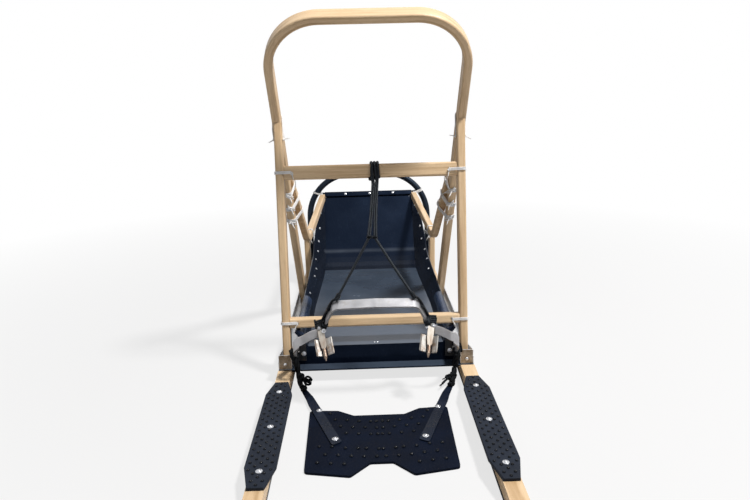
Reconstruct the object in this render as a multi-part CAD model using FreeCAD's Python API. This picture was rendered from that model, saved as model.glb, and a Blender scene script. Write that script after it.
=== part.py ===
import FreeCAD, Part
import math
import os

# Dog sled: two runners, a laminated driving bow, a moulded cargo bed with a raised nose,
# a hinged claw brake and a trailing snow mat. Millimetres, +Y forward, +X right, +Z up,
# ground at Z = 0, origin at the middle of the footprint.

# Driving dimensions
LENGTH = 1660.0            # tail ends to runner tips
RUNNER_HALF = 251.0        # runner centre line from the middle of the sled
RUNNER_WIDTH = 38.0
RUNNER_WOOD = 28.0
SOLE_THICKNESS = 10.0
TIP_RUN = 210.0            # length of the upturned tip
TIP_RISE = 45.0
HEEL = -230.0              # Y of the rear end of the runner channels
CHANNEL_LENGTH = 615.0
CHANNEL_WIDTH = 36.0
CHANNEL_HEIGHT = 25.0
CHANNEL_WALL = 3.0
BOW_LEAN = 32.4            # degrees back from upright
BOW_SET = 11.0             # bow's outer faces outboard of the runner centre lines
BOW_STRIP = 22.4
BOW_DEPTH = 43.0
BOW_CORNER = 145.0         # outer radius of the handlebar corners
BOW_RISE = 1069.0          # along the bow, foot to outer top
BOW_FOOT = 552.0           # foot's rear face from the heel
UPRIGHT_LEAN = 10.0        # degrees forward
UPRIGHT_WIDTH = 22.0
UPRIGHT_DEPTH = 36.0
UPRIGHT_SET = 3.6          # uprights inboard of the runner centre lines
UPRIGHT_FOOT = 38.0
UPPER_BAR = 531.0          # middles of the crossbars above the runner tops
LOWER_BAR = 116.5
RAIL_WIDTH = 22.0
RAIL_HEIGHT = 24.0
RAIL_TOE_IN = 6.3          # degrees
HOOP_LEAN = 19.5           # degrees forward
HOOP_TUBE = 24.0
HOOP_SET = 5.0             # hoop's outer sides outboard of the runner centre lines
HOOP_CORNER = 185.0
HOOP_RISE = 425.0
HOOP_BACK = 187.0          # hoop's foot behind the runner tips
BED_FLOOR = 54.0           # floor above the runner tops
BED_SHEET = 4.0
NOSE_LEAN = 53.6           # degrees up from level
NOSE_BACK = 80.0           # nose's top edge behind the runner tips
NOSE_TOP_Z = 317.0
BEND_BACK = 360.0          # start of the bed's bend behind the runner tips
STANCHION_BACK = 236.0     # front stanchions behind the runner tips
STANCHION_WIDTH = 22.0
STANCHION_DEPTH = 36.0
STANCHION_HEIGHT = 168.0
PIVOT_Y = 8.0              # brake hinge from the heel
PIVOT_Z = 44.0             # brake hinge above the runner tops
BRAKE_LEAN = 28.0          # the brake bow's plane, degrees back from upright
BRAKE_BAR = 28.0
BRAKE_RISE = 66.0          # from the spikes' roots to the brake bar, along the lean
SPIKE_DIP = 41.0           # the spikes at rest, degrees below level
MAT_THICKNESS = 6.0
MAT_INSET = 79.0           # mat's sides inboard of the runner centre lines
BUNGEE_RADIUS = 3.8
KNOT_RADIUS = 7.2
FORK_HALF = 10.0           # half the gap between the bungee's strands at the fork
SEAT = 0.3                 # gap left where pieces are seated

DECK = RUNNER_WOOD + SOLE_THICKNESS
TAIL = -LENGTH / 2
TIP = LENGTH / 2
FRONT = TIP - HEEL
BOW_HALF = RUNNER_HALF + BOW_SET
UPRIGHT_HALF = RUNNER_HALF - UPRIGHT_SET
HOOP_HALF = RUNNER_HALF + HOOP_SET
STANCHION_INNER = RUNNER_HALF + 1 - STANCHION_WIDTH / 2
HINGE_FACE = RUNNER_HALF - 27
MAT_SHARE = (RUNNER_HALF - MAT_INSET) / 172.0
HOOP_FOOT = FRONT - HOOP_BACK
NOSE_TOP_Y = FRONT - NOSE_BACK
BEND_START = FRONT - BEND_BACK
STANCHION_FOOT = FRONT - STANCHION_BACK


def vec(x, v, z):
    """Point from sideways, forward-of-heel and above-runner-top distances."""
    return FreeCAD.Vector(x, v + HEEL, z + DECK)


def box(x0, x1, v0, v1, z0, z1):
    return Part.makeBox(x1 - x0, v1 - v0, z1 - z0, vec(x0, v0, z0))


def prism(points, direction):
    wire = Part.makePolygon(points + [points[0]])
    return Part.Face(wire).extrude(direction)


def mirrored(shape):
    return shape.mirror(FreeCAD.Vector(0, 0, 0), FreeCAD.Vector(1, 0, 0))


def framed(shape, origin, ex, ey, ez):
    """Carries a shape drawn in local axes into the sled's axes."""
    matrix = FreeCAD.Matrix(ex.x, ey.x, ez.x, origin.x, ex.y, ey.y, ez.y, origin.y,
                            ex.z, ey.z, ez.z, origin.z, 0, 0, 0, 1)
    result = shape.copy()
    result.Placement = FreeCAD.Placement(matrix)
    return result


def rounded(shape, radius, wanted):
    """Fillets the edges that the test picks; keeps the sharp body where that fails."""
    edges = [edge for edge in shape.Edges if wanted(edge)]
    for factor in (1.0, 0.6):
        try:
            result = shape.makeFillet(radius * factor, edges)
            if result.isValid() and result.Volume > 0:
                return result
        except Part.OCCError:
            continue
    return shape


def along(direction):
    """Test for straight edges that run along one direction."""
    def test(edge):
        if not isinstance(edge.Curve, Part.Line):
            return False
        return abs(abs(edge.tangentAt(edge.FirstParameter).dot(direction)) - 1) < 1e-4
    return test


def path_edges(points, radii, shift):
    """Edges of a plane path with rounded corners, shifted to its left."""
    flat = [FreeCAD.Vector(x, y, 0) for x, y in points]
    edges = []
    steps = [(b - a).normalize() for a, b in zip(flat, flat[1:])]
    sides = [FreeCAD.Vector(-d.y, d.x, 0) for d in steps]
    start = flat[0] + sides[0] * shift
    for i, radius in enumerate(radii):
        d0, d1, n0, n1, corner = steps[i], steps[i + 1], sides[i], sides[i + 1], flat[i + 1]
        turn = math.atan2(d0.x * d1.y - d0.y * d1.x, d0.dot(d1))
        sign = 1.0 if turn > 0 else -1.0
        reach = radius * math.tan(abs(turn) / 2)
        centre = corner - d0 * reach + n0 * (radius * sign)
        arc_radius = radius - sign * shift
        first = corner - d0 * reach + n0 * shift
        last = corner + d1 * reach + n1 * shift
        middle = centre + (corner - centre).normalize() * arc_radius
        edges.append(Part.makeLine(start, first))
        edges.append(Part.Arc(first, middle, last).toShape())
        start = last
    edges.append(Part.makeLine(start, flat[-1] + sides[-1] * shift))
    return edges


def band(points, radii, width):
    """Face of a strip of even width that follows a path."""
    left = path_edges(points, radii, width / 2)
    right = path_edges(points, radii, -width / 2)
    ends = [Part.makeLine(left[-1].Vertexes[-1].Point, right[-1].Vertexes[-1].Point),
            Part.makeLine(left[0].Vertexes[0].Point, right[0].Vertexes[0].Point)]
    groups = Part.sortEdges(left + right + ends)
    return Part.Face(Part.Wire(groups[0]))


def rod(points, radius):
    """Round bar or rope through points, its run smoothed as a spline."""
    if len(points) == 2:
        edge = Part.makeLine(points[0], points[1])
    else:
        curve = Part.BSplineCurve()
        curve.interpolate(points)
        edge = curve.toShape()
    tangent = edge.tangentAt(edge.FirstParameter)
    ring = Part.Wire(Part.makeCircle(radius, points[0], tangent))
    return Part.Wire(edge).makePipeShell([ring], True, True)


def ball(point, radius):
    return Part.makeSphere(radius, point)


def spline_face(lower, upper):
    """Face between two curves in the side view that share no points."""
    edges = []
    for points in (lower, upper):
        curve = Part.BSplineCurve()
        curve.interpolate(points)
        edges.append(curve.toShape())
    edges.append(Part.makeLine(lower[0], upper[0]))
    edges.append(Part.makeLine(lower[-1], upper[-1]))
    return Part.Face(Part.Wire(Part.sortEdges(edges)[0]))


def tip_lift(run):
    return TIP_RISE * (max(run, 0.0) / TIP_RUN) ** 2


def runner_pair():
    """Wooden runner with a thinned, upturned tip, and the plastic sole under it."""
    start = TIP - TIP_RUN
    x0 = RUNNER_HALF - RUNNER_WIDTH / 2
    side = FreeCAD.Vector(RUNNER_WIDTH, 0, 0)
    wood = box(x0, x0 + RUNNER_WIDTH, TAIL - HEEL, start - HEEL, -RUNNER_WOOD, 0)
    sole = box(x0, x0 + RUNNER_WIDTH, TAIL - HEEL, start - HEEL, -DECK, -RUNNER_WOOD - SEAT)
    steps = [TIP_RUN * i / 6 for i in range(7)]
    bottom, middle_low, middle_high, top = [], [], [], []
    for run in steps:
        lift = tip_lift(run)
        thin = RUNNER_WOOD * (1 - 0.55 * run / TIP_RUN)
        y = start + run
        bottom.append(FreeCAD.Vector(x0, y, lift))
        middle_low.append(FreeCAD.Vector(x0, y, lift + SOLE_THICKNESS - SEAT))
        middle_high.append(FreeCAD.Vector(x0, y, lift + SOLE_THICKNESS))
        top.append(FreeCAD.Vector(x0, y, lift + SOLE_THICKNESS + thin))
    wood = wood.fuse(spline_face(middle_high, top).extrude(side)).removeSplitter()
    sole = sole.fuse(spline_face(bottom, middle_low).extrude(side)).removeSplitter()
    recess = box(x0 - 1, x0 + RUNNER_WIDTH + 1, -7 - SEAT, 34 + SEAT, -BED_SHEET - SEAT * 2, 1)
    tail_cut = prism([vec(x0 - 1, TAIL - HEEL - 1, 1), vec(x0 - 1, TAIL - HEEL + 14, 1),
                      vec(x0 - 1, TAIL - HEEL - 1, -10)], FreeCAD.Vector(RUNNER_WIDTH + 2, 0, 0))
    wood = wood.cut(recess).cut(tail_cut)
    return wood, sole


def channel():
    """Aluminium U-section that takes the feet of the upright and of the bow."""
    x0 = RUNNER_HALF - CHANNEL_WIDTH / 2
    outer = box(x0, x0 + CHANNEL_WIDTH, 0, CHANNEL_LENGTH, 0, CHANNEL_HEIGHT)
    inner = box(x0 + CHANNEL_WALL, x0 + CHANNEL_WIDTH - CHANNEL_WALL, -1, CHANNEL_LENGTH + 1,
                CHANNEL_WALL, CHANNEL_HEIGHT + 1)
    body = outer.cut(inner)
    return rounded(body, 5.0, lambda e: along(FreeCAD.Vector(1, 0, 0))(e)
                   and e.CenterOfMass.z > DECK + CHANNEL_HEIGHT - 0.5)


def bow_frame():
    lean = math.radians(BOW_LEAN)
    up = FreeCAD.Vector(0, -math.sin(lean), math.cos(lean))
    face = FreeCAD.Vector(0, math.cos(lean), math.sin(lean))
    return up, face


def in_bow(shape):
    """Local x sideways, y up the bow, z out of its rear face."""
    up, face = bow_frame()
    return framed(shape, vec(0, BOW_FOOT, CHANNEL_WALL), FreeCAD.Vector(1, 0, 0), up, face * -1)


def below(level):
    return box(-400, 400, -400, 1400, level - 120, level)


def driving_bow():
    """One bent strip: both legs, both corners and the handlebar."""
    half = BOW_HALF - BOW_STRIP / 2
    top = BOW_RISE - BOW_STRIP / 2
    path = [(half, -45), (half, top), (-half, top), (-half, -45)]
    radius = BOW_CORNER - BOW_STRIP / 2
    face = band(path, [radius, radius], BOW_STRIP)
    face.translate(FreeCAD.Vector(0, 0, -BOW_DEPTH))
    body = face.extrude(FreeCAD.Vector(0, 0, BOW_DEPTH))
    level = lambda e: abs(e.BoundBox.ZLength) < 0.01 and e.BoundBox.YMax > -40
    body = rounded(body, 6.0, level)
    return in_bow(body).cut(below(CHANNEL_WALL + SEAT))


def leaned(shape):
    """Tips a shape forward about the foot of the rear uprights."""
    result = shape.copy()
    result.rotate(vec(0, UPRIGHT_FOOT, CHANNEL_WALL), FreeCAD.Vector(1, 0, 0), -UPRIGHT_LEAN)
    return result


def rear_upright():
    x0 = UPRIGHT_HALF - UPRIGHT_WIDTH / 2
    v0 = UPRIGHT_FOOT - UPRIGHT_DEPTH / 2
    body = box(x0, x0 + UPRIGHT_WIDTH, v0, v0 + UPRIGHT_DEPTH, -20, 760)
    body = rounded(body, 5.0, along(FreeCAD.Vector(0, 0, 1)))
    body = leaned(body).cut(below(CHANNEL_WALL + SEAT))
    beyond = Part.makeBox(1000, 1600, 600, FreeCAD.Vector(-500, -200, SEAT - 600))
    return body.cut(in_bow(beyond))


def crossbar(middle, height, depth):
    """Round-edged bar between the uprights, with a lashing hole near each end."""
    half = UPRIGHT_HALF - UPRIGHT_WIDTH / 2 - SEAT
    body = box(-half, half, UPRIGHT_FOOT - depth / 2, UPRIGHT_FOOT + depth / 2,
               middle - height / 2, middle + height / 2)
    body = rounded(body, 6.0, along(FreeCAD.Vector(1, 0, 0)))
    for x in (-half + 22, half - 22):
        body = body.cut(Part.makeCylinder(3.5, depth + 4, vec(x, UPRIGHT_FOOT - depth / 2 - 2, middle),
                                          FreeCAD.Vector(0, 1, 0)))
    return leaned(body)


def side_rail():
    """Bent bar: its arm lies against the bow's front face, its run goes to the nose."""
    up, face = bow_frame()
    toe = math.radians(RAIL_TOE_IN)
    arm = up * math.cos(toe) + FreeCAD.Vector(math.sin(toe), 0, 0)
    seat_line = BOW_DEPTH + SEAT + RAIL_HEIGHT / 2
    lean = math.radians(BOW_LEAN)
    ahead, rise = NOSE_TOP_Y + 21 - BOW_FOOT, NOSE_TOP_Z - 17
    end = (ahead * math.cos(lean) + rise * math.sin(lean),
           rise * math.cos(lean) - ahead * math.sin(lean))
    path = [(seat_line, 536), (seat_line, 259), end]
    strip = band(path, [44], RAIL_HEIGHT)
    strip.translate(FreeCAD.Vector(0, 0, -RAIL_WIDTH / 2))
    body = strip.extrude(FreeCAD.Vector(0, 0, RAIL_WIDTH))
    body = rounded(body, 4.0, lambda e: abs(e.BoundBox.ZLength) < 0.01)
    body = framed(body, vec(RUNNER_HALF - 64.2, BOW_FOOT, CHANNEL_WALL), face, arm, face.cross(arm))
    nose = math.radians(NOSE_LEAN)
    slope = FreeCAD.Vector(0, math.cos(nose), math.sin(nose))
    out = FreeCAD.Vector(0, math.sin(nose), -math.cos(nose))
    beyond = Part.makeBox(800, 800, 200, FreeCAD.Vector(-400, -400, -4.4))
    return body.cut(framed(beyond, vec(0, NOSE_TOP_Y, NOSE_TOP_Z),
                           FreeCAD.Vector(-1, 0, 0), slope, out))


def front_stanchion():
    x0 = STANCHION_INNER
    body = box(x0, x0 + STANCHION_WIDTH, STANCHION_FOOT, STANCHION_FOOT + STANCHION_DEPTH, SEAT,
               STANCHION_HEIGHT)
    body = rounded(body, 4.0, along(FreeCAD.Vector(0, 0, 1)))
    return rounded(body, 3.0, lambda e: e.CenterOfMass.z > DECK + STANCHION_HEIGHT - 0.5)


def brush_bow():
    """Round hoop that leans forward over the nose."""
    lean = math.radians(HOOP_LEAN)
    half = HOOP_HALF - HOOP_TUBE / 2
    top = HOOP_RISE - HOOP_TUBE / 2
    radius = HOOP_CORNER - HOOP_TUBE / 2
    wire = Part.Wire(path_edges([(half, -20), (half, top), (-half, top), (-half, -20)],
                                [radius, radius], 0))
    ring = Part.Wire(Part.makeCircle(HOOP_TUBE / 2, FreeCAD.Vector(half, -20, 0),
                                     FreeCAD.Vector(0, 1, 0)))
    body = wire.makePipeShell([ring], True, True)
    up = FreeCAD.Vector(0, math.sin(lean), math.cos(lean))
    back = FreeCAD.Vector(0, -math.cos(lean), math.sin(lean))
    return framed(body, vec(0, HOOP_FOOT, 0), FreeCAD.Vector(1, 0, 0), up, back).cut(below(SEAT))


def tray_section(v, z, tilt, floor_inset, edge_inset, height):
    """Closed outline of the tray's sheet across the sled, inboard of the runner centre lines."""
    t = BED_SHEET
    floor_half, edge_half = RUNNER_HALF - floor_inset, RUNNER_HALF - edge_inset
    flare = math.atan2(height, edge_half - floor_half)
    right = [(floor_half, 0.0), (edge_half, height),
             (edge_half + t * math.sin(flare), height - t * math.cos(flare)),
             (floor_half + t * math.tan(flare / 2), -t)]
    left = [(-x, h) for x, h in reversed(right)]
    points = []
    for x, h in right + left:
        points.append(vec(x, v - h * math.sin(tilt), z + h * math.cos(tilt)))
    return Part.makePolygon(points + [points[0]])


def bed():
    """Moulded sheet: rear lip, riser, floor, side flanges and raised nose in one."""
    lean = math.radians(NOSE_LEAN)
    run = (NOSE_TOP_Z - BED_FLOOR) / math.tan(lean)
    corner = NOSE_TOP_Y - run
    reach = corner - BEND_START
    radius = reach / math.tan(lean / 2)
    stations = [(30.0, BED_FLOOR, 0.0, 63.0, 31.0, 44.0),
                (335.0, BED_FLOOR, 0.0, 63.0, 31.0, 44.0),
                (BEND_START - 60, BED_FLOOR, 0.0, 73.0, 29.0, 50.0)]
    for i in range(7):
        tilt = lean * i / 6
        stations.append((BEND_START + radius * math.sin(tilt), BED_FLOOR + radius * (1 - math.cos(tilt)),
                         tilt, 74.0 - i / 6.0, 29.0 + 3.0 * i / 6, 53.0))
    for z, floor_inset, edge_inset, height in ((190, 72, 40, 40), (232, 71, 47, 26),
                                               (262, 70, 62, 4), (NOSE_TOP_Z, 68, 64, 3)):
        v = NOSE_TOP_Y - (NOSE_TOP_Z - z) / math.tan(lean)
        stations.append((v, z, lean, floor_inset, edge_inset, height))
    tray = Part.makeLoft([tray_section(*s) for s in stations], True, True)
    wide, lip_half = RUNNER_HALF - 21, RUNNER_HALF + CHANNEL_WIDTH / 2
    riser = box(-wide, wide, 30, 34, -BED_SHEET - SEAT, BED_FLOOR - 0.01)
    lip = box(-lip_half, lip_half, -5, 34, -BED_SHEET - SEAT, -SEAT)
    return tray.fuse(riser).fuse(lip).removeSplitter()


def nose_batten():
    """Flat strip along the top edge of the nose, on its front face."""
    lean = math.radians(NOSE_LEAN)
    slope = FreeCAD.Vector(0, math.cos(lean), math.sin(lean))
    back = FreeCAD.Vector(0, -math.sin(lean), math.cos(lean))
    half = RUNNER_HALF - 86
    body = Part.makeBox(2 * half, 22, 5, FreeCAD.Vector(-half, -24, -BED_SHEET - SEAT - 5))
    body = rounded(body, 2.0, along(FreeCAD.Vector(1, 0, 0)))
    return framed(body, vec(0, NOSE_TOP_Y, NOSE_TOP_Z), FreeCAD.Vector(1, 0, 0), slope, back)


def edge_strip():
    """Half-round strip on the upper inside of a side flange."""
    flare = math.atan2(44.0, 32.0)
    inward = FreeCAD.Vector(-math.sin(flare), 0, math.cos(flare))
    corner = vec(RUNNER_HALF - 63, 43, BED_FLOOR)
    slope = FreeCAD.Vector(1, 0, math.tan(flare))
    low = corner + slope * 11.2 + inward * SEAT
    high = corner + slope * 31.6 + inward * SEAT
    crown = (low + high) * 0.5 + inward * 9.0
    wire = Part.Wire([Part.Arc(low, crown, high).toShape(), Part.makeLine(high, low)])
    return Part.Face(wire).extrude(FreeCAD.Vector(0, 284, 0))


def crossmember(v, depth, half, height):
    body = box(-half, half, v, v + depth, SEAT, height)
    return rounded(body, 3.0, along(FreeCAD.Vector(1, 0, 0)))


def foot_pad():
    """Long eight-sided rubber tread on the tail of a runner."""
    x = RUNNER_HALF - 1.3
    outline = [(x - 17, -85), (x + 17, -85), (x + 33, -148), (x + 33, -446), (x + 17, -512),
               (x - 17, -512), (x - 33, -446), (x - 33, -148)]
    body = prism([vec(px, pv, SEAT) for px, pv in outline], FreeCAD.Vector(0, 0, 7))
    return rounded(body, 1.5, lambda e: e.CenterOfMass.z > DECK + 7)


def brake_hinge():
    """Angle bracket: base on the riser, ear beside the brake arm."""
    base = box(HINGE_FACE - 30, HINGE_FACE, 30 - SEAT - 3, 30 - SEAT, 12, 62)
    ear = box(HINGE_FACE - 3, HINGE_FACE, -4, 30 - SEAT, 30, 58)
    ear = rounded(ear, 10.0, lambda e: along(FreeCAD.Vector(1, 0, 0))(e)
                  and e.CenterOfMass.y < HEEL)
    hole = Part.makeCylinder(4.0, 20, vec(HINGE_FACE - 12, PIVOT_Y, PIVOT_Z), FreeCAD.Vector(1, 0, 0))
    return base.fuse(ear).cut(hole).removeSplitter()


def brake_pivot():
    """Shouldered pin through the hinge's ear and the brake arm."""
    axis = FreeCAD.Vector(1, 0, 0)
    pin = Part.makeCylinder(3.7, 16, vec(HINGE_FACE - 12, PIVOT_Y, PIVOT_Z), axis)
    inner = Part.makeCylinder(6.5, 4, vec(HINGE_FACE - 13.3, PIVOT_Y, PIVOT_Z), axis)
    outer = Part.makeCylinder(6.5, 4, vec(HINGE_FACE + 0.2, PIVOT_Y, PIVOT_Z), axis)
    return pin.fuse(inner).fuse(outer).removeSplitter()


def in_brake(shape):
    """Local x sideways, y up the brake bow, z out of its rear side."""
    lean = math.radians(BRAKE_LEAN)
    up = FreeCAD.Vector(0, -math.sin(lean), math.cos(lean))
    back = FreeCAD.Vector(0, -math.cos(lean), -math.sin(lean))
    return framed(shape, vec(0, -70, 163), FreeCAD.Vector(1, 0, 0), up, back)


def in_spike(shape):
    """Local x outward, y up out of the spike's face, z down the right-hand spike."""
    dip = math.radians(SPIKE_DIP)
    toe = math.radians(10.3)
    down = FreeCAD.Vector(0, -math.cos(dip), -math.sin(dip))
    face = FreeCAD.Vector(0, -math.sin(dip), math.cos(dip))
    axis = down * math.cos(toe) + FreeCAD.Vector(-math.sin(toe), 0, 0)
    return framed(shape, vec(145, -70, 161), face.cross(axis), face, axis)


def spike_bar(grow):
    """Flat bar that carries a claw, tapered towards its tip."""
    half, flat = 8.0 + grow, 4.0 + grow
    outline = [(-half, -7 - grow), (half, -7 - grow), (half, 50), (half - 3, 72 + grow),
               (3 - half, 72 + grow), (-half, 50)]
    body = prism([FreeCAD.Vector(x, -flat, t) for x, t in outline],
                 FreeCAD.Vector(0, 2 * flat, 0))
    return in_spike(body)


def brake_bow():
    """Flat bar bent the easy way to the treadle of the brake, peaked at the middle."""
    path = [(-136, -8), (-104, BRAKE_RISE), (0, BRAKE_RISE + 4), (104, BRAKE_RISE), (136, -8)]
    face = band(path, [18, 60, 18], 5.0)
    face.translate(FreeCAD.Vector(0, 0, -BRAKE_BAR / 2))
    body = in_brake(face.extrude(FreeCAD.Vector(0, 0, BRAKE_BAR)))
    spike = spike_bar(SEAT)
    return body.cut(spike).cut(mirrored(spike))


def brake_claw():
    """Bent plate under the spike bar, with a splayed wing on each side."""
    section = [(-7, -4 - SEAT), (-20, 1), (-21, 4), (-24, 2.2), (-22.5, -2.5), (-8, -7.5),
               (8, -7.5), (19.5, -2.5), (21, 2.2), (18, 4), (17, 1), (7, -4 - SEAT)]
    body = prism([FreeCAD.Vector(x, w, 43) for x, w in section], FreeCAD.Vector(0, 0, 45))
    notch = prism([FreeCAD.Vector(-30, w, t) for w, t in ((-10, 60), (-10, 87), (-3.5, 87))],
                  FreeCAD.Vector(60, 0, 0))
    sole = Part.makeBox(15, 6, 24, FreeCAD.Vector(-7.5, -9, 64))
    return in_spike(body.cut(sole).cut(notch))


def brake_tip():
    """Round pointed spike that stands out of the end of the bar."""
    shank = Part.makeCylinder(4.5, 22, FreeCAD.Vector(0, 0, 72 + SEAT), FreeCAD.Vector(0, 0, 1))
    point = Part.makeCone(4.5, 1.2, 10, FreeCAD.Vector(0, 0, 94 + SEAT), FreeCAD.Vector(0, 0, 1))
    return in_spike(shank.fuse(point).removeSplitter())


def brake_arm():
    """Spike bar and the strap from it outward, then forward and down to the pivot."""
    stack = -86.0
    reach = HINGE_FACE - 7
    plan = [(140, stack), (reach - 21, stack), (reach, stack + 24), (reach, PIVOT_Y + 11)]
    strip = band(plan, [16, 20], 4.0)
    strip.translate(FreeCAD.Vector(0, HEEL, DECK))
    strip = strip.extrude(FreeCAD.Vector(0, 0, 200))
    across = band([(130, 148), (reach - 51, 137), (reach + 9, 103)], [60], 21.0)
    across = across.extrude(FreeCAD.Vector(0, 0, 40))
    across = framed(across, vec(0, -50, 0), FreeCAD.Vector(1, 0, 0),
                    FreeCAD.Vector(0, 0, 1), FreeCAD.Vector(0, -1, 0))
    side = band([(-90, 124), (-42, 72), (PIVOT_Y, PIVOT_Z)], [40], 21.0)
    eye = Part.Face(Part.Wire(Part.makeCircle(11, FreeCAD.Vector(PIVOT_Y, PIVOT_Z, 0))))
    side = side.extrude(FreeCAD.Vector(0, 0, 30)).fuse(eye.extrude(FreeCAD.Vector(0, 0, 30)))
    side = framed(side, vec(reach - 17, 0, 0), FreeCAD.Vector(0, 1, 0), FreeCAD.Vector(0, 0, 1),
                  FreeCAD.Vector(1, 0, 0))
    hole = Part.makeCylinder(4.1, 40, vec(reach - 17, PIVOT_Y, PIVOT_Z), FreeCAD.Vector(1, 0, 0))
    rear_part = strip.common(across.common(box(100, reach - 11, -120, -50, 0, 220)))
    front_part = strip.common(side)
    return rear_part.fuse(front_part).cut(hole).fuse(spike_bar(0.0)).removeSplitter()


def bungee_turn(x):
    """One turn of the cord round the upper crossbar."""
    width = 2 * BUNGEE_RADIUS - 1.0
    faces = []
    for reach, radius in ((SEAT + width, 10), (SEAT, 5)):
        v0, z0 = UPRIGHT_FOOT - 13.5 - reach, UPPER_BAR - 19 - reach
        v1, z1 = UPRIGHT_FOOT + 13.5 + reach, UPPER_BAR + 19 + reach
        loop = [(v0, UPPER_BAR), (v0, z1), (v1, z1), (v1, z0), (v0, z0), (v0, UPPER_BAR)]
        faces.append(Part.Face(Part.Wire(path_edges(loop, [radius] * 4, 0))))
    body = faces[0].cut(faces[1]).extrude(FreeCAD.Vector(0, 0, width))
    return leaned(framed(body, vec(x - width / 2, 0, 0), FreeCAD.Vector(0, 1, 0),
                         FreeCAD.Vector(0, 0, 1), FreeCAD.Vector(1, 0, 0)))


def fork_point(side):
    """Where a strand of the bungee ends and its leg to the brake begins."""
    return vec(-1 + side * FORK_HALF, -3, 366)


def bungee_upper():
    """Turns round the upper crossbar, two strands down to the fork, and the tie that joins them."""
    body = rod([fork_point(-1), fork_point(1)], BUNGEE_RADIUS + 0.6)
    for side in (-1, 1):
        body = body.fuse(ball(fork_point(side), BUNGEE_RADIUS + 0.6))
    for x in (1.0, 9.0, 17.0):
        body = body.fuse(bungee_turn(x))
    for x in (-1, 1):
        top = leaned(ball(vec(9 + x * 4.2, UPRIGHT_FOOT - 12, UPPER_BAR - 23), 1)).CenterOfMass
        body = body.fuse(rod([top, fork_point(x)], BUNGEE_RADIUS))
    return body.removeSplitter()


def knot_centre(side):
    """Middle of the knot that lies on a corner of the brake bow."""
    lean = math.radians(BRAKE_LEAN)
    rise = BRAKE_RISE + 3.0 + SEAT + KNOT_RADIUS
    return vec(side * 94, -70 - rise * math.sin(lean), 163 + rise * math.cos(lean))


def bungee_fork():
    """Two legs from the fork to the corners of the brake bow."""
    legs = []
    for side in (-1, 1):
        fork = fork_point(side)
        end = knot_centre(side)
        reach = (end - fork).normalize()
        start = fork + reach * (BUNGEE_RADIUS + 0.9 + SEAT)
        legs.append(rod([start, end - reach * (KNOT_RADIUS + SEAT)], 3.0))
    return Part.makeCompound(legs)


def brake_knots():
    """Knots that hold the bungee on the corners of the brake bow."""
    return Part.makeCompound([ball(knot_centre(side), KNOT_RADIUS) for side in (-1, 1)])


def snow_mat():
    """Rubber mat with a hollowed front edge and a notched rear edge."""
    half = [(172, -167), (166, -414), (68, -432), (25, -388)]
    front = [(62, -197), (101, -172)]
    outline = front + half + [(-x, v) for x, v in reversed(front + half)]
    body = prism([vec(x * MAT_SHARE, v, -DECK) for x, v in outline],
                 FreeCAD.Vector(0, 0, MAT_THICKNESS))
    return rounded(body, 9.0, along(FreeCAD.Vector(0, 0, 1)))


def mat_strap():
    """Flat strap from its narrow neck at the tow rope back across the mat."""
    outline = [(191, -60), (204, -63), (186, -114), (177, -145), (110, -324), (88, -311),
               (142, -171), (169, -102)]
    body = prism([vec(x * MAT_SHARE, v, SEAT + MAT_THICKNESS - DECK) for x, v in outline],
                 FreeCAD.Vector(0, 0, 3))
    return rounded(body, 5.0, along(FreeCAD.Vector(0, 0, 1)))


def rope_upper():
    """Short tow rope from the brake hinge down behind the bed's lip."""
    x = HINGE_FACE + 5.6
    knot = ball(vec(x, -8, 44), 6.2)
    run = rod([vec(x, -8, 44), vec(x - 0.6, -13, 24), vec(x - 8.6, -14.5, 9), vec(x - 13.6, -14, 1)],
              4.5)
    return knot.fuse(run).removeSplitter()


def rope_lower():
    """Tow rope from behind the lip down to its knot on the strap."""
    end = 197 * MAT_SHARE
    knot = ball(vec(end, -70, MAT_THICKNESS + 3 + 7 + SEAT * 2 - DECK), 7.0)
    x = HINGE_FACE - 8.4
    run = rod([vec(x, -14.7, -3.2), vec(x - 2.6, -24, -12), vec(end + 8, -50, -18), vec(end, -70, -20)],
              4.5)
    return knot.fuse(run).removeSplitter()


def save(shape, name):
    shape.exportStep(os.path.join("parts", name + ".step"))


def save_pair(shape, name):
    save(shape, name + "_right")
    save(mirrored(shape), name + "_left")


runner, sole = runner_pair()
save_pair(runner, "runner")
save_pair(sole, "runner_sole")
save_pair(channel(), "channel")
save_pair(rear_upright(), "rear_upright")
save_pair(side_rail(), "side_rail")
save_pair(front_stanchion(), "front_stanchion")
save_pair(edge_strip(), "bed_edge_strip")
save_pair(foot_pad(), "foot_pad")
save_pair(brake_hinge(), "brake_hinge")
save_pair(brake_pivot(), "brake_pivot")
save_pair(brake_arm(), "brake_arm")
save_pair(brake_claw(), "brake_claw")
save_pair(brake_tip(), "brake_tip")
save_pair(mat_strap(), "mat_strap")
save_pair(rope_upper(), "mat_rope_upper")
save_pair(rope_lower(), "mat_rope_lower")
save(driving_bow(), "driving_bow")
save(crossbar(UPPER_BAR, 38.0, 27.0), "upper_crossbar")
save(crossbar(LOWER_BAR, 27.0, 34.0), "lower_crossbar")
save(brush_bow(), "brush_bow")
save(bed(), "bed")
save(nose_batten(), "nose_batten")
inner = RUNNER_HALF - CHANNEL_WIDTH / 2 - SEAT
save(crossmember(34 + SEAT, 36.0, inner, BED_FLOOR - BED_SHEET - SEAT), "rear_crossmember")
save(crossmember(BEND_START - 140, 40.0, inner, BED_FLOOR - BED_SHEET - SEAT), "middle_crossmember")
save(crossmember(STANCHION_FOOT, STANCHION_DEPTH, STANCHION_INNER - SEAT, 60.0), "front_crossmember")
save(brake_bow(), "brake_bow")
save(brake_knots(), "brake_knots")
save(bungee_upper(), "bungee_upper")
save(bungee_fork(), "bungee_fork")
save(snow_mat(), "snow_mat")
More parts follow.
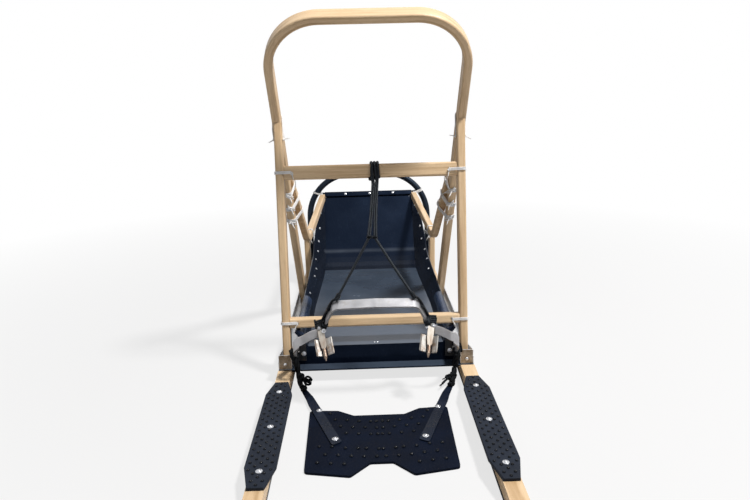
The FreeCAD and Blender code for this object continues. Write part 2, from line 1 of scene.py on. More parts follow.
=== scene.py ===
import bpy
import random
from functools import cache
from math import atan2, cos, pi, radians, sin
from mathutils import Matrix, Vector
from mathutils.bvhtree import BVHTree
from mathutils.geometry import convex_hull_2d


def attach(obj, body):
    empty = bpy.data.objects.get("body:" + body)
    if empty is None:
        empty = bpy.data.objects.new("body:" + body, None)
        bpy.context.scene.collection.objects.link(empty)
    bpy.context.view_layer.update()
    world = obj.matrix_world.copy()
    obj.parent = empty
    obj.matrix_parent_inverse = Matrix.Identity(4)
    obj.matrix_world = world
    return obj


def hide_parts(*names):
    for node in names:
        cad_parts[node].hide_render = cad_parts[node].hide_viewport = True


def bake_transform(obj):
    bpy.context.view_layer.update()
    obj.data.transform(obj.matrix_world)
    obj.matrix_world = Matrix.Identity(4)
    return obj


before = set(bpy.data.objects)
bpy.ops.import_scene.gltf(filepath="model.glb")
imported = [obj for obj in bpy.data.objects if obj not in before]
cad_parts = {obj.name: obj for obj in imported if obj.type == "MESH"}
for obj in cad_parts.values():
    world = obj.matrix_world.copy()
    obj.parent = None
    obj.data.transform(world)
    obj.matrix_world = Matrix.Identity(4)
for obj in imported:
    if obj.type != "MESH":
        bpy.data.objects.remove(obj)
scene = bpy.context.scene
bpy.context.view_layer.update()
scene.view_settings.view_transform = "Standard"
rng = random.Random(11)


def vec(x, y, z):
    return Vector((x, y, z))


def leaned(degrees):
    """Directions up along and forward across a strip whose top leans forward by an angle."""
    turn = radians(degrees)
    return vec(0, sin(turn), cos(turn)), vec(0, cos(turn), -sin(turn))


def linked(name, data):
    made = bpy.data.objects.new(name, data)
    scene.collection.objects.link(made)
    return made


# Places are written as sideways, forward of the heel and above the runner tops, in mm.
HEEL, DECK = -0.23, 0.038


def at(x, v, z):
    return vec(x * 0.001, v * 0.001 + HEEL, z * 0.001 + DECK)


X, Y, Z = vec(1, 0, 0), vec(0, 1, 0), vec(0, 0, 1)  # right, forward and up
SIDES = (("left", -1), ("right", 1))

# The driving bow's plane, and the middle line of its strip: half width, height, bend radius
BOW_UP, BOW_FACE = leaned(-32.4)
BOW_FOOT = at(0, 552, 3)
BOW_HALF, BOW_TOP, BOW_BEND = 0.2508, 1.0578, 0.1338

# The rear uprights, and the levels of the two crossbars along them
UP_DIR, UP_FACE = leaned(10)
UP_FOOT = (38, 3)
UPPER_BAR, LOWER_BAR = 531, 116.5

# The brake's plane at rest, for places measured sideways, up along it and back from it
BRAKE_AT = at(0, -70, 163)
BRAKE_UP, BRAKE_FACE = leaned(-28)

# Where the bed's floor bends into its front rise, in the YZ plane; a painted highlight runs along
# it
BED_CREASE = (0.0, 0.592, 0.144)

# Levels of the foot pads' and the mat's upper faces
PAD_TOP, MAT_TOP = 7.3, -32

# Camera

WIDE, TALL, FOCAL, SENSOR = 750, 500, 600.0, 36.0
YAW, PITCH, ROLL = radians(1.1248), radians(15.5), radians(1.4272)
ahead = vec(sin(YAW) * cos(PITCH), cos(YAW) * cos(PITCH), -sin(PITCH))
flat_right = vec(cos(YAW), -sin(YAW), 0)
flat_up = flat_right.cross(ahead)
cam_right = flat_right * cos(ROLL) - flat_up * sin(ROLL)
cam_up = flat_right * sin(ROLL) + flat_up * cos(ROLL)
cam_at = at(-25.7, -1511.0, 753.1)
lens = bpy.data.cameras.new("camera")
lens.sensor_width = SENSOR
lens.lens = FOCAL / WIDE * SENSOR
lens.clip_start = 0.05
lens.clip_end = 200
camera = linked("camera", lens)
basis = Matrix((cam_right, cam_up, -ahead)).transposed().to_4x4()
camera.matrix_world = Matrix.Translation(cam_at) @ basis
scene.camera = camera


def pixel_ray(px, py):
    """Direction from the camera through a point of the picture."""
    over, down = (px - WIDE / 2) / FOCAL, (py - TALL / 2) / FOCAL
    return (ahead + cam_right * over - cam_up * down).normalized()


def pixel_on(px, py, origin, normal):
    """Where a pixel's ray meets the plane through a point."""
    ray = pixel_ray(px, py)
    return cam_at + ray * ((origin - cam_at).dot(normal) / ray.dot(normal))


# Materials

class Graph:
    """A material or world under construction."""

    def __init__(self, name, kind="materials", shader="Principled BSDF"):
        self.block = getattr(bpy.data, kind).new(name)
        self.block.use_nodes = True
        self.tree = self.block.node_tree
        self.shader = self.tree.nodes[shader]

    def node(self, kind, inputs=(), **settings):
        made = self.tree.nodes.new("ShaderNode" + kind)
        for key, value in settings.items():
            setattr(made, key, value)
        for key, value in dict(inputs).items():
            self.feed(made.inputs[key], value)
        return made

    def feed(self, socket, value):
        if isinstance(value, bpy.types.NodeSocket):
            self.tree.links.new(value, socket)
        elif isinstance(value, bpy.types.Node):
            self.tree.links.new(value.outputs[0], socket)
        else:
            socket.default_value = value

    def set(self, **inputs):
        for key, value in inputs.items():
            self.feed(self.shader.inputs[key.replace("_", " ")], value)

    def math(self, operation, *values, clamp=False):
        return self.node("Math", enumerate(values), operation=operation,
                         use_clamp=clamp).outputs[0]

    def times(self, a, b):
        return self.math("MULTIPLY", a, b)

    def vector(self, operation, a, b, out=0):
        made = self.node("VectorMath", {0: a, 1: b}, operation=operation)
        return made.outputs[out]

    def dot(self, vector, axis):
        return self.vector("DOT_PRODUCT", vector, axis, "Value")

    def place(self):
        return self.node("TexCoord").outputs["Object"]

    def noise(self, vector, scale, detail, rough=0.55, warp=0.0):
        return self.node("TexNoise", {
            "Vector": vector, "Scale": scale, "Detail": detail, "Roughness": rough,
            "Distortion": warp}).outputs[0]

    def streaks(self, vector, scale, detail, rough, warp=0.0):
        """Noise drawn out along the axes whose scale is low."""
        return self.noise(self.vector("MULTIPLY", vector, scale), 1.0, detail, rough, warp)

    def ramp(self, value, *stops):
        made = self.node("ValToRGB", {0: value})
        while len(made.color_ramp.elements) < len(stops):
            made.color_ramp.elements.new(0.5)
        for element, (place, colour) in zip(made.color_ramp.elements, stops):
            element.position = place
            grey = isinstance(colour, (int, float))
            element.color = (colour, colour, colour, 1) if grey else (*colour, 1)
        return made.outputs[0]

    def mix(self, share, a, b):
        a, b = ((*c, 1) if isinstance(c, tuple) else c for c in (a, b))
        return self.node("Mix", {0: share, 6: a, 7: b}, data_type="RGBA").outputs[2]

    def over(self, under, tone, mask, start, stop):
        """A tone laid over a colour where a mask is high, from one ramp stop to the other."""
        return self.mix(self.ramp(mask, start, stop), under, tone)

    def bump(self, height, strength, distance):
        return self.node("Bump", {"Height": height, "Strength": strength,
                                  "Distance": distance}).outputs[0]


def wood(name, axis, seed, bow=False):
    """Pale ash: fibres and growth rings that run along the piece, and round the bow's bends."""
    g = Graph(name)
    p = g.place()
    axis = Vector(axis).normalized()
    if bow:
        # the distance from the bends' centres keeps the fibres parallel to the strip
        up = g.math("SUBTRACT", g.dot(p, axis), BOW_FOOT.dot(axis))
        x = g.math("ABSOLUTE", g.dot(p, X))
        q = g.math("MAXIMUM", g.math("SUBTRACT", x, BOW_HALF - BOW_BEND), 0.0)
        w = g.math("MAXIMUM", g.math("SUBTRACT", up, BOW_TOP - BOW_BEND), 0.0)
        across = g.math("SQRT", g.math("ADD", g.times(q, q), g.times(w, w)))
        run = g.math("SUBTRACT", up, x)
        deep = g.dot(p, BOW_FACE)
    else:
        side = (axis.orthogonal() if abs(axis.x) > 0.9 else axis.cross(X)).normalized()
        run, across, deep = g.dot(p, axis), g.dot(p, side), g.dot(p, axis.cross(side))
    grain = g.node("CombineXYZ", {0: g.math("ADD", run, seed), 1: across, 2: deep})
    rings = g.streaks(grain, (4.5, 130, 60), 2.5, 0.5, 0.35)
    fibres = g.streaks(grain, (22, 1500, 1100), 3.0, 0.6)
    pores = g.streaks(grain, (55, 2600, 2000), 1.0, 0.5)
    broad = g.noise(p, 5.0, 2.0)
    colour = g.ramp(rings, (0.3, (0.49, 0.325, 0.175)), (0.46, (0.66, 0.47, 0.285)),
                    (0.62, (0.755, 0.565, 0.36)))
    colour = g.over(colour, (0.48, 0.32, 0.17), fibres, (0.35, 0.42), (0.6, 0))
    colour = g.over(colour, (0.33, 0.205, 0.1), pores, (0.3, 0.45), (0.38, 0))
    colour = g.over(colour, (0.82, 0.64, 0.42), broad, (0.35, 0), (0.7, 0.22))
    g.set(Base_Color=colour, Roughness=g.ramp(rings, (0.3, 0.5), (0.7, 0.38)),
          Normal=g.bump(g.mix(0.5, fibres, pores), 0.25, 0.0004),
          Coat_Weight=0.06, Coat_Roughness=0.3, Specular_IOR_Level=0.35)
    return g.block


def bed_plastic():
    """Glossy dark-blue moulded sheet: rub marks, dust and painted sky sheen on level faces, a
    painted bend highlight.
    """
    g = Graph("bed_plastic")
    p = g.place()
    rub = g.streaks(p, (420, 14, 60), 3.0, 0.6)
    cloud = g.noise(p, 9.0, 3.0)
    specks = g.noise(p, 900.0, 1.0)
    colour = g.over((0.0029, 0.0052, 0.0112), (0.006, 0.0102, 0.0195), cloud, (0.4, 0), (0.75, 0.7))
    colour = g.over(colour, (0.03, 0.04, 0.06), rub, (0.62, 0), (0.74, 0.35))
    colour = g.over(colour, (0.16, 0.17, 0.19), specks, (0.7, 0), (0.76, 0.25))
    # level faces get a lighter blue film: partly dust, partly painted sky reflection
    upward = g.dot(g.node("NewGeometry").outputs["Normal"], Z)
    dust_and_sky_sheen = g.times(g.ramp(upward, (0.975, 0), (0.998, 1)), g.ramp(cloud, (0.3, 0.64), (0.7, 0.92)))
    colour = g.mix(dust_and_sky_sheen, colour, (0.05, 0.068, 0.098))
    # a pale band along the bend is a painted highlight
    away = g.vector("DISTANCE", g.vector("MULTIPLY", p, (0, 1, 1)), BED_CREASE, "Value")
    crease = g.times(g.ramp(away, (0.001, 0.62), (0.011, 0)), g.ramp(cloud, (0.3, 0.5), (0.7, 1)))
    colour = g.mix(crease, colour, (0.085, 0.1, 0.125))
    g.set(Base_Color=colour, Roughness=g.ramp(cloud, (0.35, 0.2), (0.75, 0.28)),
          Specular_IOR_Level=0.34, Specular_Tint=(0.16, 0.26, 0.52, 1),
          Normal=g.bump(g.mix(0.3, g.noise(p, 14.0, 1.0), rub), 0.05, 0.0015))
    return g.block


def rubber(name, base, rough, grain, level):
    """Rubber or plain plastic, cloudy and finely grained."""
    g = Graph(name)
    p = g.place()
    fine = g.noise(p, grain, 2.0)
    cloud = g.noise(p, 16.0, 4.0)
    lighter = tuple(min(1.0, c * 1.8 + 0.002) for c in base)
    colour = g.over(base, lighter, cloud, (0.42, 0), (0.74, 0.8))
    colour = g.over(colour, (0.07, 0.075, 0.085), fine, (0.66, 0), (0.72, 0.25))
    g.set(Base_Color=colour, Roughness=g.ramp(cloud, (0.35, rough - 0.08), (0.7, rough + 0.1)),
          Specular_IOR_Level=level, Normal=g.bump(fine, 0.3, 0.0006))
    return g.block


def metal(name, base, rough, brush, stain=None, stain_from=0.0):
    """Bare metal with fine working marks along one axis and an optional tarnish."""
    g = Graph(name)
    p = g.place()
    marks = g.streaks(p, brush, 3.0, 0.6)
    cloud = g.noise(p, 34.0, 4.0, 0.6)
    darker = tuple(c * 0.62 for c in base)
    colour = g.over(base, darker, cloud, (0.38, 0), (0.7, 0.65))
    if stain:
        spots = g.noise(p, 55.0, 6.0, 0.7)
        colour = g.over(colour, stain, spots, (stain_from - 0.08, 0.0), (stain_from + 0.1, 0.9))
    g.set(Base_Color=colour, Metallic=0.92,
          Roughness=g.ramp(marks, (0.3, max(rough - 0.08, 0.05)), (0.7, rough + 0.12)),
          Normal=g.bump(g.mix(0.4, marks, cloud), 0.12, 0.0008))
    return g.block


def arm_metal(name):
    """Brushed bar with its spike ends in worn steel that rusts towards the point."""
    g = Graph(name)
    p = g.place()
    marks = g.streaks(p, (40, 420, 420), 3.0, 0.6)
    cloud = g.noise(p, 34.0, 4.0, 0.6)
    colour = g.over((0.55, 0.55, 0.57), (0.35, 0.35, 0.36), cloud, (0.38, 0), (0.7, 0.65))
    # the spike bars lie within 0.15 m of the middle and rust below 0.215 m; the ramps'
    # steps are coarse, so distances are spread five times for them
    spread = 5.0
    out = g.math("ABSOLUTE", g.dot(p, X))
    spike = g.ramp(g.times(out, spread), (0.745, 1), (0.765, 0))
    low = g.math("SUBTRACT", 0.215, g.dot(p, Z))
    streak = g.streaks(p, (160, 30, 30), 4.0, 0.65)
    rust = g.math("ADD", g.times(low, spread), g.times(streak, 0.9), clamp=True)
    steel = g.over((0.29, 0.275, 0.25), (0.15, 0.09, 0.055), rust, (0.55, 0), (0.95, 0.85))
    brushed = g.ramp(marks, (0.3, 0.3), (0.7, 0.5))
    g.set(Base_Color=g.mix(spike, colour, steel), Metallic=0.9,
          Roughness=g.mix(spike, brushed, (0.52, 0.52, 0.52)),
          Normal=g.bump(g.mix(0.4, marks, cloud), 0.12, 0.0008))
    return g.block


def cord(name, base, light, strands, pitch, rough, level, grime=None):
    """Braided cord: two sets of strands that cross, from the turn and run its tube carries."""
    g = Graph(name)
    turn, run = (g.node("Attribute", attribute_name=mark).outputs["Fac"]
                 for mark in ("turn", "run"))
    a = g.times(turn, strands * 2 * pi)
    b = g.times(run, 2 * pi / pitch)
    one = g.math("SINE", g.math("ADD", a, b))
    two = g.math("SINE", g.math("SUBTRACT", a, b))
    weave = g.math("MULTIPLY_ADD", g.times(one, two), 0.5, 0.5)
    height = g.mix(0.25, weave, g.noise(g.place(), 1500.0, 2.0))
    # crests of the braid take the paler colour; the darker grooves between the strands are painted
    # shade
    colour = g.over(base, light, height, (0.25, 0), (0.72, 1))
    if grime:
        cloud = g.noise(g.place(), 120.0, 3.0)
        colour = g.over(colour, grime, cloud, (0.45, 0), (0.7, 0.6))
    g.set(Base_Color=colour, Roughness=rough, Specular_IOR_Level=level,
          Specular_Tint=(0.75, 0.88, 1.0, 1), Normal=g.bump(height, 0.7, 0.0006))
    return g.block


def coated_tube():
    """Dark coating on the hoop, with a soft sky sheen and rubbed spots."""
    g = Graph("hoop_black")
    p = g.place()
    cloud = g.noise(p, 22.0, 4.0)
    scuff = g.streaks(p, (60, 60, 210), 4.0, 0.7)
    colour = g.over((0.006, 0.0085, 0.014), (0.012, 0.017, 0.027), cloud, (0.4, 0), (0.7, 0.9))
    colour = g.over(colour, (0.1, 0.11, 0.13), scuff, (0.66, 0), (0.74, 0.35))
    g.set(Base_Color=colour, Roughness=g.ramp(cloud, (0.35, 0.34), (0.7, 0.46)),
          Specular_IOR_Level=0.16, Specular_Tint=(0.5, 0.7, 1.0, 1),
          Normal=g.bump(g.noise(p, 500.0, 2.0), 0.12, 0.0006))
    return g.block


ash_cross = wood("ash_cross", X, 3.1)
sheet_blue = bed_plastic()
strip_blue = rubber("strip_plastic", (0.016, 0.03, 0.068), 0.2, 900.0, 0.5)
# the studs' near-black tone is partly their own colour and partly painted shade
stud = rubber("stud_rubber", (0.0016, 0.0026, 0.0056), 0.26, 900.0, 0.15)
alu = metal("channel_aluminium", (0.66, 0.67, 0.69), 0.32, (30, 4, 500), (0.3, 0.27, 0.22), 0.66)
# brown-grey aluminium, darker than the rims, for the end brackets' back faces
brown_face_alu = metal("brown_grey_aluminium", (0.36, 0.32, 0.27), 0.45, (300, 4, 30),
                 (0.17, 0.125, 0.085), 0.5)
claw = metal("claw_steel", (0.4, 0.39, 0.375), 0.44, (240, 60, 60), (0.2, 0.135, 0.09), 0.54)
zinc = metal("zinc", (0.66, 0.68, 0.72), 0.24, (500, 500, 500))
bungee = cord("bungee_cord", (0.0012, 0.0013, 0.0018), (0.01, 0.011, 0.014), 8, 0.0065, 0.36, 0.2)
black_rope = cord("tow_rope", (0.0014, 0.0015, 0.0019), (0.011, 0.012, 0.014), 6, 0.007, 0.5, 0.07)
white_cord = cord("lashing_cord", (0.6, 0.6, 0.62), (0.96, 0.96, 0.96), 6, 0.0032,
                  0.8, 0.3, (0.8, 0.78, 0.74))

LOOKS = {
    "driving_bow": wood("ash_bow", BOW_UP, 0.3, bow=True),
    "rear_upright": wood("ash_upright", UP_DIR, 1.7),
    "front_stanchion": wood("ash_post", Z, 2.2),
    "runner": wood("ash_runner", Y, 4.4),
    "side_rail": wood("ash_rail", (0, 0.995, 0.1), 5.2),
    "upper_crossbar": ash_cross, "lower_crossbar": ash_cross, "rear_crossmember": ash_cross,
    "middle_crossmember": ash_cross, "front_crossmember": ash_cross,
    "bed": sheet_blue, "nose_batten": strip_blue, "bed_edge_strip": strip_blue,
    "foot_pad": rubber("tread_rubber", (0.0135, 0.0175, 0.027), 0.56, 650.0, 0.07),
    "snow_mat": rubber("mat_rubber", (0.0014, 0.0034, 0.01), 0.5, 480.0, 0.045),
    "mat_strap": rubber("strap_rubber", (0.0044, 0.008, 0.018), 0.32, 900.0, 0.1),
    "runner_sole": rubber("sole_plastic", (0.012, 0.013, 0.016), 0.42, 300.0, 0.5),
    "channel": alu, "brush_bow": coated_tube(), "brake_arm": arm_metal("brake_arm_metal"),
    "brake_bow": metal("brake_aluminium", (0.45, 0.455, 0.48), 0.4, (12, 420, 420),
                       (0.33, 0.3, 0.26), 0.64),
    "brake_tip": metal("tip_steel", (0.27, 0.22, 0.18), 0.42, (90, 500, 90),
                       (0.12, 0.07, 0.045), 0.5),
    # the hinge bracket's near-black tone is painted shade
    "brake_hinge": metal("bracket_metal", (0.045, 0.047, 0.052), 0.45, (300, 300, 60),
                         (0.1, 0.07, 0.05), 0.6),
    "brake_claw": claw, "brake_pivot": claw,
    "bungee_upper": bungee, "bungee_fork": bungee, "brake_knots": bungee,
    "mat_rope_upper": black_rope, "mat_rope_lower": black_rope}

for name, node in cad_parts.items():
    node.data.materials.clear()
    node.data.materials.append(LOOKS[name.removesuffix("_left").removesuffix("_right")])

# Finding places on the CAD pieces


@cache
def tree_of(name):
    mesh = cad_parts[name].data
    return BVHTree.FromPolygons([v.co.copy() for v in mesh.vertices],
                                [tuple(p.vertices) for p in mesh.polygons])


def find(name, px, py):
    """Surface point and outward normal of a piece at a pixel, or close by. None if it misses."""
    for reach in (0, 0.7, 1.4, 2.2, 3.0):
        for k in range(8):
            angle = k * pi / 4
            ray = pixel_ray(px + reach * cos(angle), py + reach * sin(angle))
            spot, normal, _, _ = tree_of(name).ray_cast(cam_at, ray)
            if spot is not None:
                return spot, -normal if normal.dot(ray) > 0 else normal
    return None


def side_of(px):
    return "left" if px < WIDE / 2 else "right"


def section(names, origin, normal, reach):
    """Points where the pieces' edges cross a plane near its origin."""
    found = []
    for name in names:
        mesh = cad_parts[name].data
        for edge in mesh.edges:
            a, b = (mesh.vertices[i].co - origin for i in edge.vertices)
            high, low = a.dot(normal), b.dot(normal)
            if high * low <= 0 and high != low:
                p = a.lerp(b, high / (high - low))
                if p.length < reach:
                    found.append(origin + p)
    return found


def middle_of(points):
    return sum(points, Vector()) / len(points)


def on_bar(x, fore, lift, level=UPPER_BAR):
    """Place near a crossbar: sideways, forward of its middle and above its middle."""
    return at(x, *UP_FOOT) + UP_FACE * (fore * 0.001) + UP_DIR * ((level - 3 + lift) * 0.001)


def in_brake(x, y, z):
    return BRAKE_AT + (vec(x, 0, 0) + BRAKE_UP * y - BRAKE_FACE * z) * 0.001


def mirrored(place, sign, *spots):
    """Places by at or in_brake, on the right for sign 1 and on the left for sign -1."""
    return [place(sign * x, y, z) for x, y, z in spots]


# Mesh making

class Batch:
    """Collects mesh parts for one piece."""

    def __init__(self, *materials):
        self.materials = materials
        self.verts, self.faces, self.looks, self.turns, self.runs = [], [], [], [], []

    def add(self, verts, faces, look=0, marks=None):
        base = len(self.verts)
        self.verts.extend(verts)
        for i, face in enumerate(faces):
            self.faces.append([base + k for k in face])
            self.looks.append(look)
            for turn, run in marks[i] if marks else [(0.0, 0.0)] * len(face):
                self.turns.append(turn)
                self.runs.append(run)

    def done(self, name, body="frame", slot=None, replaces=(), crease=None):
        mesh = bpy.data.meshes.new(name)
        mesh.from_pydata([tuple(v) for v in self.verts], [], self.faces)
        for material in self.materials:
            mesh.materials.append(material)
        mesh.polygons.foreach_set("material_index", self.looks)
        mesh.polygons.foreach_set("use_smooth", [True] * len(self.faces))
        for label, values in (("turn", self.turns), ("run", self.runs)):
            layer = mesh.attributes.new(label, "FLOAT", "CORNER")
            layer.data.foreach_set("value", values)
        mesh.validate()
        if crease:
            mesh.set_sharp_from_angle(angle=radians(crease))
        made = linked(name, mesh)
        if body:
            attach(made, body)
        if replaces:
            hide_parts(*replaces)
        return made


def quads(rings, n):
    """Faces between neighbouring rings of n points each."""
    return [[j * n + k, j * n + (k + 1) % n, (j + 1) * n + (k + 1) % n, (j + 1) * n + k]
            for j in range(rings - 1) for k in range(n)]


def lids(rings, n):
    """Flat faces that close the first and the last ring."""
    return [list(range(n))[::-1], [(rings - 1) * n + k for k in range(n)]]


def basis_for(normal, spin):
    """Three directions for a form that stands on a surface, turned by spin."""
    normal = Vector(normal).normalized()
    side = Matrix.Rotation(spin, 3, normal) @ normal.orthogonal().normalized()
    return side, normal.cross(side), normal


def lathe(profile, sides=14, flat_sides=0):
    """Turned form from (radius, height) pairs in mm; flat_sides makes it a nut."""
    verts = []
    for radius, height in profile:
        for k in range(sides):
            angle = 2 * pi * k / sides
            r = radius
            if flat_sides:
                sector = pi / flat_sides
                r = radius * cos(sector) / cos((angle % (2 * sector)) - sector)
            verts.append(vec(r * cos(angle), r * sin(angle), height))
    return verts, quads(len(profile), sides) + lids(len(profile), sides)


def set_on(batch, form, point, normal, spin=0.0, scale=1.0, look=0):
    """Places a lathe form on a surface."""
    side, over, out = basis_for(normal, spin)
    verts, faces = form
    batch.add([point + (side * v.x + over * v.y + out * v.z) * (0.001 * scale) for v in verts],
              faces, look)


DOME = lathe([(4.6, -0.6), (4.6, 0.25), (4.2, 1.0), (3.1, 1.9), (1.6, 2.5), (0.5, 2.6)])
WASHER = lathe([(7.2, -0.4), (7.2, 0.9), (6.6, 1.3), (3.0, 1.3)], 18)
NUT = lathe([(4.6, -0.4), (4.6, 0.2), (5.2, 0.8), (5.2, 3.4), (4.7, 4.2), (2.6, 4.2)], 18, 6)
STUB = lathe([(2.4, 3.0), (2.4, 6.6), (2.0, 7.2), (0.6, 7.2)], 10)
STUD = lathe([(3.5, -0.3), (3.4, 0.7), (2.8, 1.9), (1.6, 2.7), (0.4, 2.95)], 10)
PAN = lathe([(4.9, -0.3), (4.9, 0.9), (4.3, 1.8), (3.2, 2.3), (0.6, 2.45)], 18)
WASHER_LIFT = 0.0011


def screw(batch, point, normal, scale=1.0, washer=True, nut=False):
    """Round head, or a nut with its bolt end, mostly on a washer."""
    if washer:
        set_on(batch, WASHER, point, normal, rng.uniform(0, 6), scale)
        point = point + normal * (WASHER_LIFT * scale)
    if nut:
        spin = rng.uniform(0, 1)
        set_on(batch, NUT, point, normal, spin, scale)
        set_on(batch, STUB, point, normal, spin, scale)
    else:
        set_on(batch, DOME, point, normal, rng.uniform(0, 6), scale)


def slab(batch, outline, origin, across, up, thick, edge, look=0, face_look=0):
    """Flat plate from a closed outline in mm, with its rims broken on both faces."""
    out = across.cross(up).normalized()
    n = len(outline)
    middle = Vector((sum(p[0] for p in outline) / n, sum(p[1] for p in outline) / n))
    verts = []
    for height, inset in ((0.0, edge), (edge, 0.0), (thick - edge, 0.0), (thick, edge)):
        for point in outline:
            q = Vector(point) * 0.001
            q -= (q - middle * 0.001).normalized() * inset
            verts.append(origin + across * q.x + up * q.y + out * height)
    batch.add(verts, lids(4, n)[:1] + quads(4, n), look)
    batch.add(verts[3 * n:], [list(range(n))], face_look)


def cornered(width, low, high, radius):
    """Outline of an upright plate whose two top corners are round."""
    half = width / 2
    points = [(-half, low), (half, low)]
    for centre, first in ((half - radius, 0), (radius - half, 90)):
        for turn in range(first, first + 91, 15):
            points.append((centre + radius * cos(radians(turn)),
                           high - radius + radius * sin(radians(turn))))
    return points


# Floor, world and lamps

WORLD_LIGHT = 0.17
FLOOR_HALF, FLOOR_DROP = 80.0, 0.0005
LAMP_AIM = vec(0, 0, 0.4)
LAMPS = (("key", (1.9, -1.15, 4.3), 0.6, 272, (1.0, 0.98, 0.95)),
         ("fill", (-3.2, -2.0, 2.2), 2.5, 9, (0.93, 0.96, 1.0)),
         ("rim", (0.5, 4.0, 2.8), 2.5, 12, (1, 1, 1)))


def studio():
    """White floor that melts into a white world, which lights the sled less than it shows."""
    g = Graph("floor")
    far = g.vector("DISTANCE", g.place(), (0, 0, 0), "Value")
    g.set(Base_Color=(0.55, 0.55, 0.56, 1), Roughness=1.0, Specular_IOR_Level=0.0)
    glow = g.node("Emission", {"Color": (1, 1, 1, 1), "Strength": 1.0})
    seen = g.node("LightPath").outputs["Is Camera Ray"]
    share = g.ramp(g.times(far, 0.2), (0.16, 0.74), (0.5, 1))
    blend = g.node("MixShader", {0: g.times(seen, share), 1: g.shader, 2: glow})
    g.feed(g.tree.nodes["Material Output"].inputs["Surface"], blend)
    b = Batch(g.block)
    b.add([vec(x, y, 0) * FLOOR_HALF for x, y in ((-1, -1), (1, -1), (1, 1), (-1, 1))],
          [[0, 1, 2, 3]])
    floor = b.done("floor", None)
    floor.location.z = -FLOOR_DROP

    w = Graph("studio", "worlds", "Background")
    rays = w.node("LightPath").outputs
    shown = w.math("MAXIMUM", rays["Is Camera Ray"], rays["Is Glossy Ray"])
    shown = w.math("MAXIMUM", shown, rays["Is Transmission Ray"])
    level = w.node("MapRange", {"Value": shown, "To Min": WORLD_LIGHT})
    w.set(Color=(1.0, 1.0, 1.0, 1), Strength=level)
    scene.world = w.block

    for name, place, across, power, tint in LAMPS:
        data = bpy.data.lights.new(name, "AREA")
        data.shape = "DISK"
        data.size = across
        data.energy = power
        data.color = tint
        made = linked(name, data)
        made.location = place
        made.rotation_euler = (LAMP_AIM - made.location).to_track_quat("-Z", "Y").to_euler()


# Cords

def smooth_path(points, step=0.004):
    """Even points along a Catmull-Rom curve through the given ones."""
    led = [points[0] * 2 - points[1], *points, points[-1] * 2 - points[-2]]
    out = []
    for i in range(1, len(led) - 2):
        a, b, c, d = led[i - 1:i + 3]
        count = max(2, int((c - b).length / step))
        for k in range(count):
            t = k / count
            out.append(0.5 * (2 * b + (c - a) * t + (2 * a - 5 * b + 4 * c - d) * t * t
                              + (3 * b - a - 3 * c + d) * t ** 3))
    out.append(led[-2])
    return out


def frames(path, run=0.0):
    """Each point, two directions across the path there that don't twist, and the run so far."""
    side = None
    for i, p in enumerate(path):
        way = (path[min(i + 1, len(path) - 1)] - path[max(i - 1, 0)]).normalized()
        side = way.orthogonal() if side is None else side
        side = (side - way * side.dot(way)).normalized()
        if i:
            run += (p - path[i - 1]).length
        yield p, side, way.cross(side), run


def tube(batch, path, radius, sides=10, start_run=0.0):
    """Round tube along a path, rounded off at both ends. The radius may be a function."""
    last = len(path) - 1
    radius_at = radius if callable(radius) else lambda share: radius
    verts, faces, marks = [], quads(len(path), sides), []
    before = start_run
    for i, (p, side, over, run) in enumerate(frames(path, start_run)):
        r = radius_at(i / last)
        for k in range(sides):
            angle = 2 * pi * k / sides
            verts.append(p + side * (r * cos(angle)) + over * (r * sin(angle)))
            if i:
                a, b = k / sides, (k + 1) / sides
                marks.append([(a, before), (b, before), (b, run), (a, run)])
        before = run
    for first, order, end, inner, share in ((0, 1, path[0], path[1], 0.0),
                                            (last * sides, -1, path[-1], path[-2], 1.0)):
        verts.append(end + (end - inner).normalized() * radius_at(share) * 0.45)
        for k in range(sides):
            faces.append([first + k, first + (k + 1) % sides, len(verts) - 1][::order])
            marks.append([(0.0, before)] * 3)
    batch.add(verts, faces, marks=marks)


def lay(batch, points, radius, sides=10, step=0.004):
    """Cord along a smooth curve through a few points."""
    tube(batch, smooth_path(points, step), radius, sides)


def bundle(batch, points, strands, radius, offset, pitch):
    """Several cords laid loosely together along one run."""
    lanes = [[] for _ in range(strands)]
    for p, side, over, run in frames(smooth_path(points)):
        for k, lane in enumerate(lanes):
            angle = 2 * pi * (k / strands + run / pitch)
            lane.append(p + (side * cos(angle) + over * sin(angle)) * offset)
    for k, lane in enumerate(lanes):
        tube(batch, lane, radius, start_run=0.13 * k)


